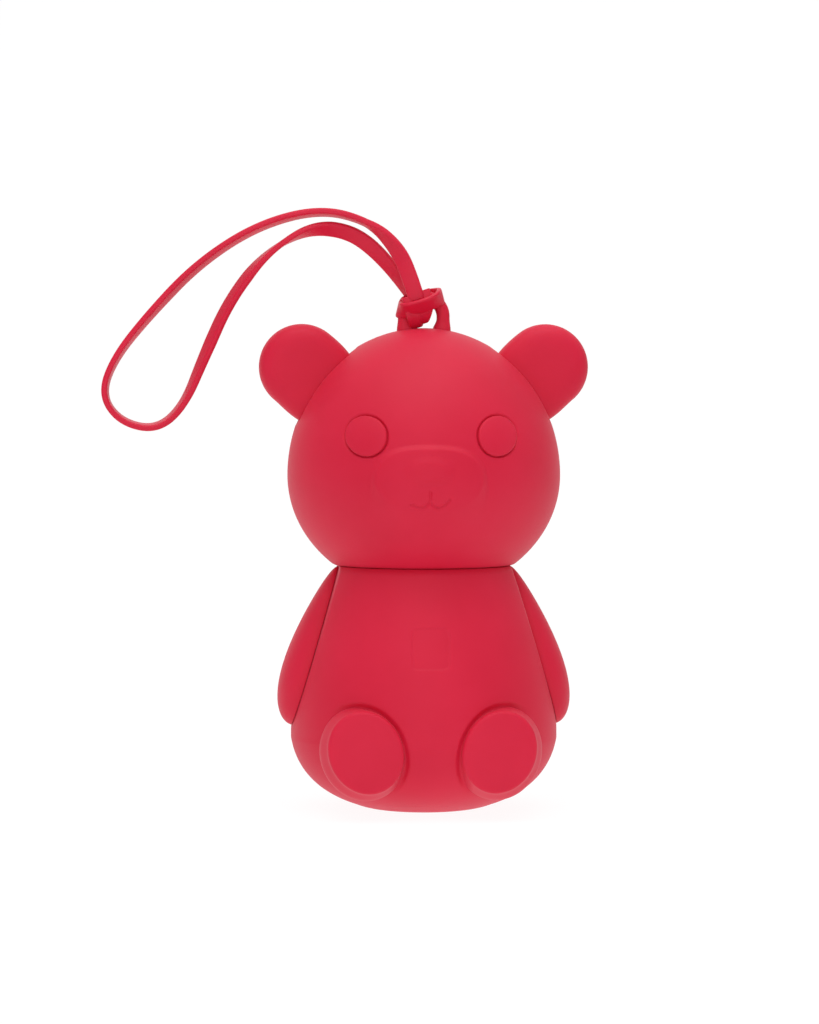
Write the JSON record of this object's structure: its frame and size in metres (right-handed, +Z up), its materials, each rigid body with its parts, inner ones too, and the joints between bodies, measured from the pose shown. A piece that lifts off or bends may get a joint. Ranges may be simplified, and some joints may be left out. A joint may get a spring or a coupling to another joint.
{
  "type": "vinyl art toy",
  "caption": "Sitting bear figure in soft-touch vinyl with a swivelling head, swinging arms and a flat wrist strap hitched to a hang loop on its crown.",
  "frame": {"origin": "middle of the flat face under the torso, on the head swivel's axis", "axes": "+Z up along the head swivel's axis, the face looks along -Y, +X is the figure's left"},
  "size_m": [0.1782, 0.1015, 0.2196],
  "materials": {
    "soft_touch_vinyl": "soft-touch matte",
    "strap_vinyl": "smooth matte",
    "joint_plastic": "as moulded",
    "screw_steel": "zinc plated"
  },
  "bodies": {
    "torso": {"torso_shell": "soft_touch_vinyl", "neck_plug": "joint_plastic", "foot_left": "soft_touch_vinyl", "foot_right": "soft_touch_vinyl"},
    "head": {"head_shell": "soft_touch_vinyl", "ear_left": "soft_touch_vinyl", "ear_right": "soft_touch_vinyl", "eye_left": "soft_touch_vinyl", "eye_right": "soft_touch_vinyl", "hang_loop": "soft_touch_vinyl", "loop_keeper": "joint_plastic", "loop_screws": "screw_steel"},
    "left_arm": {"arm_left": "soft_touch_vinyl", "shoulder_plug_left": "joint_plastic"},
    "right_arm": {"arm_right": "soft_touch_vinyl", "shoulder_plug_right": "joint_plastic"},
    "strap": {"strap_hitch": "strap_vinyl", "wrist_strap": "strap_vinyl"}
  },
  "joints": [
    {"name": "head_swivel", "type": "hinge", "parent": "torso", "child": "head", "pos_m": [0, 0, 0.0896], "axis": [0, 0, 1], "continuous": true},
    {"name": "left_arm_swing", "type": "hinge", "parent": "torso", "child": "left_arm", "pos_m": [0.03513, 0, 0.076], "axis": [0.9578, 0, 0.2873], "range_deg": [-90, 90]},
    {"name": "right_arm_swing", "type": "hinge", "parent": "torso", "child": "right_arm", "pos_m": [-0.03513, 0, 0.076], "axis": [0.9578, 0, -0.2873], "range_deg": [-90, 90]},
    {"name": "strap_swing", "type": "hinge", "parent": "head", "child": "strap", "pos_m": [-0.00208, 0, 0.18709], "axis": [0.9563, 0, 0.2924], "range_deg": [-85, 85]}
  ]
}
